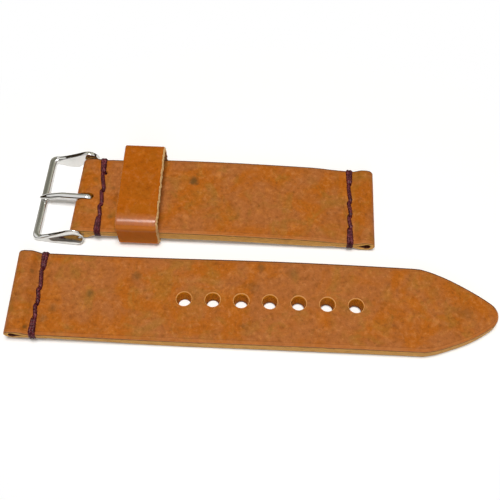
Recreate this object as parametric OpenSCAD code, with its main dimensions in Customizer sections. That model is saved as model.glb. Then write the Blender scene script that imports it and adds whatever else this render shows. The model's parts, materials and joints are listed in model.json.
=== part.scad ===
// Two-piece leather watch strap with a pin buckle and a sliding keeper.
// Millimetres, +X along the strap, +Z up, everything laid on the floor at z = 0.

/* [Show] */
// Piece to draw

/* [Strap] */
// Width of both halves
strap_w = 22; // [18:0.5:24]
// Full leather thickness
leather_t = 3.6; // [3:0.1:4]
// Leather thickness beside the sewn rows
skived_t = 2.5; // [2.3:0.1:3]
// Length of the long half
long_len = 120; // [110:1:130]
// Length of the short half
short_len = 76.6; // [70:0.1:85]
// Rise of the short half's arch over the keeper
short_arch = 1.6; // [1.4:0.05:1.8]
// Rise of the long half's middle
long_arch = 0.4; // [0:0.1:1]
// Gap between the two halves on the floor
halves_gap = 6.4; // [5:0.1:12]
// Distance of the short half's fold from the long half's lug end
short_x = 13; // [12:0.5:20]

/* [Holes] */
// Number of adjustment holes
hole_n = 7; // [3:1:7]
// Hole diameter
hole_d = 3.5; // [2:0.1:4]
// Distance between holes
hole_pitch = 7; // [5:0.5:8]
// First hole from the lug end
hole_first = 42.4; // [36:0.1:50]

/* [Point] */
// Where the point starts, from the lug end
point_start = 100.5; // [98:0.5:106]
// Radius of the point's sides
point_side_r = 34; // [30:1:60]
// Radius of the very tip
point_tip_r = 2; // [1:0.25:3]

/* [Lug tunnels] */
// Outer radius of the folded loop
lug_r = 2.05; // [1.9:0.05:2.2]
// Tunnel radius
lug_bore_r = 1; // [0.8:0.05:1.1]
// Height of the long half's tunnel above the floor
long_lug_z = 3.1; // [2.2:0.05:3.3]
// Sewn row from the long half's lug end
row_long = 6.6; // [6.2:0.1:8]
// Sewn row from the short half's lug end
row_short = 6.1; // [6:0.1:8]

/* [Thread] */
// Thread thickness
thread_d = 0.8; // [0.6:0.05:0.9]
// Slant of each stitch along the strap
stitch_slant = 0.5; // [0:0.05:0.7]
// Spread of the doubled strands over the edges
strand_spread = 0.95; // [0.8:0.05:1.1]
// Radius of the stitch holes
stitch_hole_r = 0.85; // [0.8:0.05:1]

/* [Keeper] */
// Width along the strap
keeper_w = 10.1; // [8:0.1:12]
// Leather thickness
keeper_t = 1.15; // [1:0.05:1.3]
// Free play beside the strap, each side
keeper_side = 0.35; // [0.3:0.05:0.6]
// Free height above the strap for the tail
keeper_free = 4.08; // [4.06:0.02:5]
// Middle of the keeper from the fold
keeper_x = 16.5; // [14:0.5:30]
// Outer bend radius
keeper_bend = 2.4; // [2:0.1:2.6]

/* [Buckle] */
// Pin axis from the fold, along the strap
pin_x = 1.7; // [1.5:0.1:2]
// Pin axis above the floor
pin_z = 2.35; // [2.3:0.05:2.5]
// Turn of the buckle in its loop, seen from above
pin_turn = -2.2; // [-3:0.1:0]
// Gap between each arm and the strap
arm_gap = 0.4; // [0.35:0.05:0.6]
// Thickness of each arm
arm_t = 1.3; // [1.2:0.05:1.6]
// Height of the arms at the pin
arm_h = 5.3; // [5.2:0.1:5.6]
// Pin axis to the bar's outer face
bar_reach = 12; // [11.5:0.1:13]
// Bar width
bar_w = 1.9; // [1.7:0.1:2.2]
// Bar height
bar_h = 1.5; // [1.3:0.05:1.6]
// Outer corner radius
frame_corner = 2.5; // [2:0.1:3]
// Inner corner radius
frame_inner = 1.2; // [0.8:0.1:1.5]

/* [Tongue] */
// Tongue thickness
tongue_d = 1.7; // [1.5:0.05:1.9]
// Sideways offset of tongue and slot
tongue_y = -0.8; // [-1.5:0.1:1.5]
// Slot width in the leather
slot_w = 2.4; // [2.2:0.1:3]
// Slot end from the pin axis
slot_end = 1.55; // [1.5:0.05:2]

/* [Spring bar] */
// Tube diameter
tube_d = 1.8; // [1.6:0.05:1.9]
// Tube bore
tube_bore = 1.3; // [1.2:0.05:1.3]
// Tip diameter in the arm
tip_d = 0.9; // [0.7:0.05:0.9]
// Turns of the coil spring
spring_turns = 10; // [8:1:10]
// Wire thickness of the spring
spring_wire = 0.2; // [0.16:0.02:0.22]

/* [Fits] */
// Between the tube and what turns on it
turn_fit = 0.05; // [0.03:0.01:0.08]
// Between each tip and its holes
tip_fit = 0.05; // [0.03:0.01:0.08]
// Between the resting tongue and the bar
rest_fit = 0.03; // [0.02:0.01:0.06]

/* [Hidden] */
$fn = 64;
tan_leather = [0.69, 0.38, 0.14];
plum = [0.24, 0.08, 0.12];
steel = [0.78, 0.78, 0.8];
big = 200;
thread_r = thread_d / 2;
short_y = strap_w + halves_gap;
mid_y = strap_w / 2;
frame_half = mid_y + arm_gap + arm_t;
corner_half = frame_half - frame_corner;
corner_back = bar_reach - frame_corner;
// Bounding box in Y, for the origin
y_low = -2 * thread_r + 0.02;
y_high = short_y + mid_y + corner_back * sin(-pin_turn) + corner_half * cos(pin_turn) + frame_corner;
shift = [-long_len / 2, -(y_low + y_high) / 2, 0];
// Keeper heights
short_top_keeper = short_arch * sin(180 * (short_len - keeper_x - keeper_w / 2) / 92) + leather_t;
keeper_in_z = short_top_keeper + keeper_free;
keeper_h = keeper_in_z + keeper_t;
// Skived depth taken from each face
skive = (leather_t - skived_t) / 2;
groove = 0.3;
// Levels of the flat strips beside the buckle row
buckle_top = 4.2;
buckle_low = 1.7;
fold_r = 2.1;
curl_r = 2.2;
flat_from = 7.2;
flat_to = 9.2;
bore_fold = tube_d / 2 + turn_fit;
row_buckle = 5.7;
stitch_y = [4.3, 8, 12.2, 17.7];

function ease(t) = let (c = min(1, max(0, t))) c * c * (3 - 2 * c);
function dent(d) = groove * (1 - ease((abs(d) - 1) / 0.6));

// Underside and top of the long half, x from its lug end
function long_low(x) = x < 44 ? 1.35 * ease((44 - x) / 34) : long_arch * sin(180 * (x - 44) / (long_len - 44));
function long_thick(x) = skived_t - 0.05 + (leather_t - skived_t + 0.05) * ease((x - 10) / 36);
function long_under(x) = long_low(x) + dent(x - row_long)
    - (long_low(x) - (long_lug_z - lug_r)) * (1 - ease((x - 3.2) / 2.6));
function long_over(x) = let (t = long_low(x) + long_thick(x))
    t - dent(x - row_long) + (long_lug_z + lug_r - t) * (1 - ease((x - 3.4) / 2.8));

// Underside and top of the short half, x from its fold
function short_low(x) = short_arch * sin(180 * (short_len - x) / 92);
function short_skive(x) = skive * ease((x - (short_len - 17)) / 9);
lug_x = short_len - lug_r;
row_c = short_len - row_short;
function short_under(x) = let (t = x < flat_to ? buckle_low : short_low(x) + short_skive(x)
        + (buckle_low - short_low(flat_to)) * (1 - ease((x - flat_to) / 9)) + dent(x - row_c))
    t - t * ease((x - (lug_x - 3.4)) / 2.4);
function short_over(x) = let (t = x < flat_to ? buckle_top : short_low(x) + leather_t - short_skive(x)
        + (buckle_top - short_low(flat_to) - leather_t) * (1 - ease((x - flat_to) / 9)) - dent(x - row_c))
    t + (2 * lug_r - t) * ease((x - (lug_x - 3.4)) / 2.4);

// Underside and top at the fold round the spring bar, x from the fold
function fold_under(x) = buckle_low + dent(x - row_buckle)
    - (buckle_low - (pin_z - fold_r)) * (1 - ease((x - 2.6) / 2.4));
function fold_over(x) = buckle_top - dent(x - row_buckle)
    + (pin_z + fold_r - buckle_top) * (1 - ease((x - 2.6) / 2.4));

module side_plate(pts, w) {
    translate([0, w, 0])
    rotate([90, 0, 0])
    linear_extrude(w)
    polygon(pts);
}

module across(x, z, r, from, to) {
    translate([x, from, z])
    rotate([-90, 0, 0])
    cylinder(h = to - from, r = r);
}

module upright(x, y, r, h) {
    translate([x, y, -1])
    cylinder(h = h + 1, r = r);
}

// Round tunnel with the closing slit of a folded loop, dir is the way to the strap's body
module tunnel(x, z, dir) {
    across(x, z, lug_bore_r, -1, strap_w + 1);
    translate([0, -1, 0])
    side_plate([[x, z - 0.55], [x + dir * 2.4, z], [x, z + 0.55]], strap_w + 2);
}

// Rows of stitches

function ring(p, t, r) = let (n0 = cross([1, 0, 0], t), n = n0 / norm(n0), b = cross(t, n))
    [for (k = [0:7]) p + r * (cos(45 * k) * b + sin(45 * k) * n)];

module strand(path, r) {
    last = len(path) - 1;
    rings = [for (i = [0:last]) let (a = path[max(0, i - 1)], b = path[min(last, i + 1)])
        ring(path[i], (b - a) / norm(b - a), r)];
    points = [for (g = rings) for (q = g) q];
    sides = [for (i = [0:last - 1]) for (k = [0:7])
        [8 * i + k, 8 * i + (k + 1) % 8, 8 * i + 8 + (k + 1) % 8, 8 * i + 8 + k]];
    polyhedron(points, concat([[for (k = [7:-1:0]) k]], sides, [[for (k = [0:7]) 8 * last + k]]), convexity = 6);
}

// Quarter bend from direction u to direction v round a centre
function bend(c, u, v, r) = [for (a = [0:30:90]) c + r * (cos(a) * u + sin(a) * v)];

// A stitch from hole to hole on one face: up = 1 on top, -1 below; its ends go deep into the holes
function stitch(x0, y0, x1, y1, z, up, deep) = let (k = thread_r * 1.3, d = sign(y1 - y0),
        zc = z + up * (thread_r - 0.02))
    concat([[x0, y0, z - up * deep]],
        bend([x0, y0 + d * k, zc - up * k], [0, -d, 0], [0, 0, up], k),
        [[(x0 + x1) / 2, (y0 + y1) / 2, zc + up * 0.04]],
        bend([x1, y1 - d * k, zc - up * k], [0, 0, up], [0, d, 0], k),
        [[x1, y1, z - up * deep]]);

// A strand from the last hole over the long edge and back below, side = 1 far, -1 near
function wrap(xh, yh, xe, ye, zl, zt, side, deep) = let (k = thread_r * 1.3, o = thread_r - 0.02,
        yo = ye + side * o)
    concat([[xh, yh, zt - deep]],
        bend([xh, yh + side * k, zt + o - k], [0, -side, 0], [0, 0, 1], k),
        bend([xe, yo - side * k, zt + o - k], [0, 0, 1], [0, side, 0], k),
        bend([xe, yo - side * k, zl - o + k], [0, side, 0], [0, 0, -1], k),
        bend([xh, yh + side * k, zl - o + k], [0, 0, -1], [0, -side, 0], k),
        [[xh, yh, zl + deep]]);

module sewn_row(zl, zt) {
    n = len(stitch_y);
    deep = (zt - zl) / 2 - 0.07;
    for (i = [0:n - 2])
    for (up = [-1, 1])
    strand(stitch(up * stitch_slant / 2, stitch_y[i] + 0.12, -up * stitch_slant / 2, stitch_y[i + 1] - 0.11,
        up > 0 ? zt : zl, up, deep), thread_r);
    for (s = [-1, 1]) {
        strand(wrap(0.3 * s, stitch_y[n - 1] + 0.17 + 0.03 * s, s * strand_spread / 2, strap_w,
            zl, zt, 1, deep), thread_r);
        strand(wrap(0.3 * s, stitch_y[0] - 0.16 + 0.03 * s, s * strand_spread / 2, 0,
            zl, zt, -1, deep), thread_r);
    }
}

module stitch_holes(x) {
    for (y = stitch_y)
    upright(x, y, stitch_hole_r, 8);
}

// Frames of the pieces

module at_short() {
    translate(shift + [short_x, short_y, 0])
    children();
}

// Origin on the pin axis, at the middle of the strap's width
module at_pin() {
    at_short()
    translate([pin_x, mid_y, pin_z])
    rotate([0, 0, pin_turn])
    children();
}

// Round bar along the pin axis
module pin_bar(r, from, to) {
    translate([0, from, 0])
    rotate([-90, 0, 0])
    cylinder(h = to - from, r = r);
}

// Leather

module long_plan() {
    mx = (point_start + point_peak) / 2;
    my = mid_y * 1.5;
    half = norm([point_peak - point_start, mid_y]) / 2;
    deep = sqrt(point_side_r * point_side_r - half * half);
    nx = mid_y / (2 * half);
    ny = (point_peak - point_start) / (2 * half);
    cx = mx - deep * nx;
    cy = my - deep * ny;
    intersection() {
        translate([cx, cy, -1])
        cylinder(h = 12, r = point_side_r, $fn = 200);
        translate([cx, strap_w - cy, -1])
        cylinder(h = 12, r = point_side_r, $fn = 200);
        translate([point_start, -1, -1])
        cube([tip_join - point_start, strap_w + 2, 12]);
    }
    translate([tip_x, mid_y, -1])
    cylinder(h = 12, r = point_tip_r);
    translate([-1, 0, -1])
    cube([point_start + 1, strap_w, 12]);
}
// The side arcs would meet at point_peak; the tip arc is tangent to both and ends at long_len
tip_x = long_len - point_tip_r;
point_peak = long_len + 0.73 * point_tip_r / 2;
tip_join = tip_x + point_tip_r * 0.712;

long_steps = concat([for (x = [lug_r:0.5:10]) x], [for (x = [12:3:long_len - 2]) x], [long_len + 1]);

module long_strap() {
    color(tan_leather)
    translate(shift)
    difference() {
        union() {
            intersection() {
                side_plate(concat([for (x = long_steps) [x, long_under(x)]],
                    [for (i = [len(long_steps) - 1:-1:0]) [long_steps[i], long_over(long_steps[i])]]), strap_w);
                long_plan();
            }
            across(lug_r, long_lug_z, lug_r, 0, strap_w);
        }
        tunnel(lug_r, long_lug_z, 1);
        stitch_holes(row_long);
        for (i = [0:hole_n - 1])
        upright(hole_first + i * hole_pitch, mid_y, hole_d / 2, 8);
    }
}

short_steps = concat([8, flat_to], [for (x = [11:3:lug_x - 7]) x], [for (x = [lug_x - 6.5:0.5:lug_x]) x]);
fold_steps = [for (x = [pin_x:0.5:flat_from]) x];

module fold_body() {
    steps = concat(fold_steps, [8.6]);
    intersection() {
        translate([pin_x, mid_y, 0])
        rotate([0, 0, pin_turn])
        translate([-pin_x, -mid_y - 2, 0]) {
            side_plate(concat([for (x = steps) [x, fold_under(x)]],
                [for (i = [len(steps) - 1:-1:0]) [steps[i], fold_over(steps[i])]]), strap_w + 4);
            across(pin_x, pin_z, fold_r, 0, strap_w + 4);
        }
        translate([-5, 0, -5])
        cube([20, strap_w, 20]);
    }
}

module short_strap() {
    color(tan_leather)
    at_short()
    difference() {
        union() {
            side_plate(concat([for (x = short_steps) [x, short_under(x)]],
                [for (i = [len(short_steps) - 1:-1:0]) [short_steps[i], short_over(short_steps[i])]]), strap_w);
            across(lug_x, lug_r, lug_r, 0, strap_w);
            fold_body();
        }
        tunnel(lug_x, lug_r, -1);
        stitch_holes(row_c);
        translate([pin_x, mid_y, 0])
        rotate([0, 0, pin_turn]) {
            translate([0, 0, pin_z]) {
                pin_bar(bore_fold, -15, 15);
                pin_bar(curl_r + 0.15, tongue_y - slot_w / 2, tongue_y + slot_w / 2);
            }
            translate([-5, tongue_y - slot_w / 2, -1])
            cube([5 + slot_end, slot_w, 10]);
            translate([-pin_x, -mid_y, 0])
            stitch_holes(row_buckle);
        }
    }
}

module lug_thread_long() {
    color(plum)
    translate(shift + [row_long, 0, 0])
    sewn_row(long_under(row_long), long_over(row_long));
}

module buckle_thread() {
    color(plum)
    at_short()
    multmatrix([[1, tan(-pin_turn), 0, row_buckle - mid_y * tan(-pin_turn)], [0, 1, 0, 0],
        [0, 0, 1, 0], [0, 0, 0, 1]])
    sewn_row(fold_under(row_buckle), fold_over(row_buckle));
}

module lug_thread_short() {
    color(plum)
    at_short()
    translate([row_c, 0, 0])
    sewn_row(short_under(row_c), short_over(row_c));
}

// Keeper, its own origin under its middle on the floor

module at_keeper() {
    at_short()
    translate([keeper_x, mid_y, 0])
    children();
}

module long_bar(y, z, r) {
    translate([-keeper_w / 2 - 1, y, z])
    rotate([0, 90, 0])
    cylinder(h = keeper_w + 2, r = r);
}

// Box with rounded long edges, rb at the bottom and rt at the top
module tube_block(y, z0, z1, rb, rt) {
    w = keeper_w + 2;
    for (s = [-1, 1]) {
        long_bar(s * (y - rb), z0 + rb, rb);
        long_bar(s * (y - rt), z1 - rt, rt);
    }
    translate([-w / 2, -y + rb, z0])
    cube([w, 2 * (y - rb), z1 - z0 - rt]);
    translate([-w / 2, -y + rt, z0 + rb])
    cube([w, 2 * (y - rt), z1 - z0 - rb]);
    translate([-w / 2, -y, z0 + rb])
    cube([w, 2 * y, z1 - z0 - rb - rt]);
}

seam_r = 0.24;
seam_half = 1.3;
seam_x = [-3, 0, 3];

module keeper_loop() {
    inner = mid_y + keeper_side;
    color([0.69, 0.36, 0.1])
    at_keeper()
    difference() {
        intersection() {
            tube_block(inner + keeper_t, 0, keeper_h, keeper_bend, keeper_bend);
            translate([-keeper_w / 2, -big / 2, -1])
            cube([keeper_w, big, 20]);
        }
        tube_block(inner, keeper_t, keeper_in_z, 0.6, 1.3);
        // The two ends meet here, under the strap
        translate([-keeper_w, -0.06, -1])
        cube([2 * keeper_w, 0.12, keeper_t + 2]);
        for (x = seam_x) {
            translate([x - seam_r - 0.03, -seam_half - seam_r - 0.03, -1])
            cube([2 * seam_r + 0.06, 2 * (seam_half + seam_r + 0.03), 1 + 0.05 + 2 * seam_r]);
            for (s = [-1, 1])
            translate([x, s * seam_half, -1])
            cylinder(h = 3, r = seam_r + 0.02);
        }
        translate([-3.6, seam_half - seam_r - 0.03, keeper_t - 2 * seam_r - 0.03])
        cube([7.2, 2 * seam_r + 0.06, 1]);
        translate([-3.6, -seam_half - seam_r - 0.03, keeper_t - 2 * seam_r - 0.03])
        cube([7.2, 2 * seam_r + 0.06, 1]);
    }
}

module keeper_seam_thread() {
    low = 0.03 + seam_r;
    high = keeper_t - seam_r - 0.01;
    color(plum)
    at_keeper() {
        for (x = seam_x)
        for (s = [-1, 1])
        translate([x, s * seam_half, low])
        cylinder(h = high - low, r = seam_r - 0.02);
        for (x = seam_x)
        translate([x, -seam_half - seam_r, low])
        rotate([-90, 0, 0])
        cylinder(h = 2 * (seam_half + seam_r), r = seam_r);
        for (s = [-1, 1])
        translate([-3 - seam_r, s * seam_half, high])
        rotate([0, 90, 0])
        cylinder(h = 6 + 2 * seam_r, r = seam_r);
    }
}

// Buckle, drawn round the pin axis

module buckle_frame() {
    arm_in = mid_y + arm_gap;
    lobe_r = arm_h / 2;
    lobe_x = -1.6;
    lobe_z = lobe_r - pin_z;
    x0 = -bar_reach;
    x1 = x0 + bar_w;
    floor_z = -pin_z;
    color(steel)
    at_pin()
    difference() {
        intersection() {
            union() {
                translate([0, -frame_half, floor_z])
                side_plate([[x0, 0.35], [x0 + 0.35, 0], [lobe_x, 0], [lobe_x, arm_h], [-3.5, arm_h - 0.75],
                    [-4.9, arm_h - 1.5], [-6.4, arm_h - 2.2], [-8.05, arm_h - 2.95], [x1 + 0.1, bar_h],
                    [x0 + 0.5, bar_h], [x0, bar_h - 0.6]], 2 * frame_half);
                translate([lobe_x, 0, lobe_z])
                pin_bar(lobe_r, -frame_half, frame_half);
            }
            union() {
                for (s = [-1, 1])
                translate([-corner_back, s * corner_half, -5])
                cylinder(h = 12, r = frame_corner);
                translate([-corner_back, -frame_half, -5])
                cube([20, 2 * frame_half, 12]);
                translate([-bar_reach, -corner_half, -5])
                cube([20, 2 * corner_half, 12]);
            }
        }
        union() {
            for (s = [-1, 1])
            translate([x1 + frame_inner, s * (arm_in - frame_inner), -5])
            cylinder(h = 12, r = frame_inner);
            translate([x1 + frame_inner, -arm_in, -5])
            cube([20, 2 * arm_in, 12]);
            translate([x1, -arm_in + frame_inner, -5])
            cube([20, 2 * (arm_in - frame_inner), 12]);
        }
        pin_bar(tip_d / 2 + tip_fit, -arm_in - 0.9, arm_in + 0.9);
    }
}

// Round rod from a point in the tongue's middle plane, h is its heading seen from the near side
module run(x, z, h, len) {
    translate([x, 0, z])
    rotate([0, 90 - h, 0])
    cylinder(h = len, r = tongue_d / 2);
}

// Part of a bend round the point x, z from heading a0 to a1
module elbow(x, z, a0, a1) {
    translate([x, 0, z])
    rotate([90, 0, 0])
    rotate([0, 0, a0])
    rotate_extrude(angle = a1 - a0)
    translate([elbow_r, 0])
    circle(r = tongue_d / 2);
}

elbow_r = 3;
elbow_x = -5.7;
shank_z = curl_r - tongue_d / 2 - 0.02;
// Slope of the tongue's front, so that it just clears the bar
drop_a = (17.7 + 10.4 * (pin_z - bar_h - rest_fit - 0.82)) * 5.5 / (bar_reach - 6.5);
drop_x = elbow_x - elbow_r * sin(drop_a);
drop_z = shank_z - elbow_r * (1 - cos(drop_a));
straight = 3.4 + (bar_reach - 12) / cos(drop_a);

module buckle_tongue() {
    r = tongue_d / 2;
    end = straight + 2.3;
    color(steel)
    at_pin()
    translate([0, tongue_y, 0])
    difference() {
        union() {
            pin_bar(curl_r, -r + 0.03, r - 0.03);
            run(0, shank_z, 180, -elbow_x);
            elbow(elbow_x, shank_z - elbow_r, 90, 90 + drop_a);
            translate([drop_x, 0, drop_z])
            rotate([0, -90 - drop_a, 0])
            rotate_extrude()
            polygon([[0, -0.02], [r - 0.004, -0.02], [r - 0.004, straight], [0.34, end], [0.24, end + 0.16], [0, end + 0.24]]);
        }
        pin_bar(tube_d / 2 + turn_fit, -3, 3);
    }
}

tube_half = mid_y - 0.2;
lip = 0.4;
shank_in = 7.5;

module spring_bar_tube() {
    color(steel)
    at_pin()
    difference() {
        pin_bar(tube_d / 2, -tube_half, tube_half);
        pin_bar(tube_bore / 2, -tube_half + lip, tube_half - lip);
        pin_bar(tip_d / 2 + tip_fit, -tube_half - 1, tube_half + 1);
    }
}

module tip(s) {
    end = mid_y + arm_gap + 0.85;
    color(steel)
    at_pin()
    rotate([0, 0, s > 0 ? 0 : 180]) {
        pin_bar(tube_bore / 2 - tip_fit, shank_in, tube_half - lip - 0.02);
        pin_bar(tip_d / 2, shank_in, end);
    }
}

module spring_bar_tip_near() {
    tip(-1);
}

module spring_bar_tip_far() {
    tip(1);
}

module spring_bar_spring() {
    r = tube_bore / 2 - spring_wire / 2 - 0.1;
    w = spring_wire / 2;
    half = shank_in - 0.03 - w;
    n = spring_turns * 9;
    points = [for (i = [0:n]) for (k = [0:5])
        let (a = 40 * i, y = -half + 2 * half * i / n, q = r + w * cos(60 * k))
        [q * cos(a), y - w * sin(60 * k), q * sin(a)]];
    sides = [for (i = [0:n - 1]) for (k = [0:5])
        [6 * i + k, 6 * i + (k + 1) % 6, 6 * i + 6 + (k + 1) % 6, 6 * i + 6 + k]];
    color(steel)
    at_pin()
    polyhedron(points, concat([[for (k = [5:-1:0]) k]], sides, [[for (k = [0:5]) 6 * n + k]]), convexity = 10);
}

short_strap();
long_strap();
lug_thread_long();
buckle_thread();
lug_thread_short();
keeper_loop();
keeper_seam_thread();
buckle_frame();
buckle_tongue();
spring_bar_tube();
spring_bar_tip_near();
spring_bar_tip_far();
spring_bar_spring();
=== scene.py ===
"""Looks of a two-piece leather watch strap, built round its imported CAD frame.

Lengths are in millimetres until a mesh is made, and every mesh is in metres in the frame's own place.
"""

import json
import math
import random
from math import cos, pi, radians, sin

import bmesh
import bpy
from mathutils import Matrix, Vector, noise


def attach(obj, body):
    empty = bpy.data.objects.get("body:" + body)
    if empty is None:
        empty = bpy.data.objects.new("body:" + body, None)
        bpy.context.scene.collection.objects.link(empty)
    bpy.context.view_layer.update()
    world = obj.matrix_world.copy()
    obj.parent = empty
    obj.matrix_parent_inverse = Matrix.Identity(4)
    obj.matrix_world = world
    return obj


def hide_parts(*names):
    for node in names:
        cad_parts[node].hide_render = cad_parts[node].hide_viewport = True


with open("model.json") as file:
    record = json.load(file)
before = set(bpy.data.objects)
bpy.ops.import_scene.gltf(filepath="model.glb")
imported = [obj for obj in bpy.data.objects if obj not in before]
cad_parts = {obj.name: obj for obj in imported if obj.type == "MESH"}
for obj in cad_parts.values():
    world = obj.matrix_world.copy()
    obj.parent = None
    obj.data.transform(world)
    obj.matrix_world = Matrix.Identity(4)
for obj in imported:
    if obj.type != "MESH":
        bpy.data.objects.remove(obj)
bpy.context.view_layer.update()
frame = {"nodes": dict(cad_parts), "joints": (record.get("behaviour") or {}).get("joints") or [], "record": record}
MM = 0.001


def put(name, data):
    """An object of the data, in the scene."""
    piece = bpy.data.objects.new(name, data)
    bpy.context.scene.collection.objects.link(piece)
    return piece


# Camera, solved from the photo's edges, corners and holes

EYE = Vector((1.02, -91.47, 180.5)) * MM
HEADING, DROP, ROLL = -1.957, 62.791, 0.704
FOCAL_PIXELS, FRAME_PIXELS, SENSOR = 789.27, 500, 36
NEAREST = 0.005


def add_camera():
    heading, drop, roll = (radians(v) for v in (HEADING, DROP, ROLL))
    ahead = Vector((sin(heading) * cos(drop), cos(heading) * cos(drop), -sin(drop)))
    level = Vector((cos(heading), -sin(heading), 0))
    lift = level.cross(ahead)
    side = level * cos(roll) + lift * sin(roll)
    top = lift * cos(roll) - level * sin(roll)
    data = bpy.data.cameras.new("photo_camera")
    data.sensor_width = SENSOR
    data.lens = SENSOR * FOCAL_PIXELS / FRAME_PIXELS
    data.clip_start = NEAREST
    camera = put("photo_camera", data)
    camera.matrix_world = Matrix.Translation(EYE) @ Matrix((side, top, -ahead)).transposed().to_4x4()
    bpy.context.scene.camera = camera


add_camera()


# Node trees


def operator(operation):
    """What an operator of a wire does: a Math node of that operation."""
    return lambda self, *others: self.maths(operation, self, *others)


class Wire:
    """An output socket, with sums, products and powers as Math nodes."""

    __add__ = __radd__ = operator("ADD")
    __sub__ = operator("SUBTRACT")
    __mul__ = __rmul__ = operator("MULTIPLY")
    __pow__ = operator("POWER")

    def __init__(self, sheet, node, out=0):
        self.sheet, self.node = sheet, node
        self.socket = node.outputs[out] if node.outputs else None

    def out(self, name):
        return Wire(self.sheet, self.node, name)

    def maths(self, operation, *values):
        return self.sheet.add("ShaderNodeMath", values, operation=operation)

    def rise(self, low, high):
        """0 below low, 1 above high, smooth between; falls instead where low is the larger."""
        values = {"Value": self, "From Min": min(low, high), "From Max": max(low, high),
                  "To Min": float(low > high), "To Max": float(low <= high)}
        return self.sheet.add("ShaderNodeMapRange", values, interpolation_type="SMOOTHSTEP")

    def near(self, middle, reach):
        """1 at middle, falling to 0 at reach on both sides."""
        return self.maths("ABSOLUTE", self - middle).rise(reach, 0)


class Sheet:
    """A shader or geometry node tree, emptied, that nodes are added to."""

    def __init__(self, tree):
        self.tree = tree
        tree.nodes.clear()

    def add(self, kind, values=(), out=0, **settings):
        """A node with its settings, and with a wire or a number for each input; gives its output."""
        node = self.tree.nodes.new(kind)
        for name, value in settings.items():
            setattr(node, name, value)
        pairs = values.items() if isinstance(values, dict) else enumerate(values)
        for key, value in pairs:
            if isinstance(value, Wire):
                self.tree.links.new(value.socket, node.inputs[key])
            else:
                node.inputs[key].default_value = value
        return Wire(self, node, out)

    def axes(self, spot):
        """The x, y and z of a place."""
        split = self.add("ShaderNodeSeparateXYZ", (spot,))
        return [split.out(axis) for axis in "XYZ"]

    def place(self, shift=(0, 0, 0), stretch=(1, 1, 1)):
        """Object coordinates in millimetres, moved and stretched."""
        spot = self.add("ShaderNodeTexCoord", out="Object")
        scale = tuple(s / MM for s in stretch)
        return self.add("ShaderNodeMapping", {"Vector": spot, "Location": shift, "Scale": scale})

    def cloud(self, size, detail, rough, warp=0.0, shift=(0, 0, 0), stretch=(1, 1, 1)):
        """Soft noise from 0 to 1 with features of about size millimetres."""
        return self.add("ShaderNodeTexNoise", {"Vector": self.place(shift, stretch), "Scale": 1 / size,
                                               "Detail": detail, "Roughness": rough, "Distortion": warp})

    def cells(self, size, shift=(0, 0, 0)):
        """How far away the middle of the nearest cell is; cells are about size millimetres wide."""
        return self.add("ShaderNodeTexVoronoi", {"Vector": self.place(shift), "Scale": 1 / size}, "Distance")

    def zone(self):
        """Height on the piece: mm from the rim over ten on top, 0 to -1 down the edge, lower beneath."""
        return self.axes(self.add("ShaderNodeUVMap", uv_map="zone"))[1]

    def behind(self):
        """1 where the piece's surface turns to its far side in y, 0 on top and in front: the mask of painted shade
        on far rims.
        """
        return self.axes(self.add("ShaderNodeTexCoord", out="Normal"))[1].rise(0.02, 0.25)

    def layers(self, colour, *above):
        """A colour under others, each with its share."""
        for other, share in above:
            colour = self.add("ShaderNodeMix", {0: share, 6: colour, 7: other}, 2, data_type="RGBA")
        return colour

    def looks(self, colour, roughness, height, depth, strength):
        """The shader's sockets that vary, with a bump that is depth millimetres high."""
        normal = self.add("ShaderNodeBump", {"Height": height, "Distance": depth * MM, "Strength": strength})
        return {"Base Color": colour, "Roughness": roughness, "Normal": normal}


def material_of(name, build):
    """A material with the surface that build adds to its sheet."""
    material = bpy.data.materials.new(name)
    material.use_nodes = True
    sheet = Sheet(material.node_tree)
    sheet.add("ShaderNodeOutputMaterial", {"Surface": build(sheet)})
    return material


def finish_of(name, build, *given, **fixed):
    """A material: build gives the sockets that vary, from what is given; fixed gives plain numbers."""

    def shader(sheet):
        plain = {key.replace("_", " "): value for key, value in fixed.items()}
        return sheet.add("ShaderNodeBsdfPrincipled", {**build(sheet, *given), **plain})

    return material_of(name, shader)


def tint(red, green, blue):
    """A colour as seen on a screen, 0 to 255, turned into light values."""
    parts = [c / 255 for c in (red, green, blue)]
    return tuple(c / 12.92 if c <= 0.04045 else ((c + 0.055) / 1.055) ** 2.4 for c in parts) + (1.0,)


# Materials

# Stains seen on the grain side, and painted shade of the keeper in the marks at (-37.6, 11.2) and (-38.5, 15.6)
# beside its left edge: place in mm in the frame, reach, strength
STAINS_AND_SHADE = (
    (-17.6, 18.2, 1.9, 0.75), (-29.5, -9.1, 1.7, 0.45), (-40.6, -14.4, 1.3, 0.5), (1.1, -5.6, 1.4, 0.45),
    (-2.8, -21.2, 0.9, 0.4), (-0.8, -10.8, 2.2, 0.25), (8.8, -6.8, 2.4, 0.3), (-49.2, -18.9, 1.8, 0.35),
    (-51.2, -21.5, 1.8, 0.3), (-54.9, -24.1, 0.9, 0.6), (-55.4, -9.5, 0.8, 0.4), (50.8, -15.5, 2.6, 0.25),
    (-38.4, 7.1, 1.2, 0.4), (-37.6, 11.2, 0.9, 0.35), (-38.5, 15.6, 0.9, 0.35), (-43.6, 18.1, 0.9, 0.3))
STAIN_AND_SHADE_TONE = tint(84, 66, 30)
# Zone of the pressed line, the lip's painted highlight and the far rim's painted shade
LIP, LIP_HIGHLIGHT, FAR_RIM_SHADE = 0.088, tint(190, 116, 58), tint(72, 40, 20)
STRAP_BROWNS = tint(180, 97, 17), tint(174, 102, 47), tint(158, 110, 38), tint(104, 54, 14)
KEEPER_BROWNS = tint(180, 93, 10), tint(172, 88, 14), tint(162, 98, 22), tint(118, 58, 10)


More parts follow.
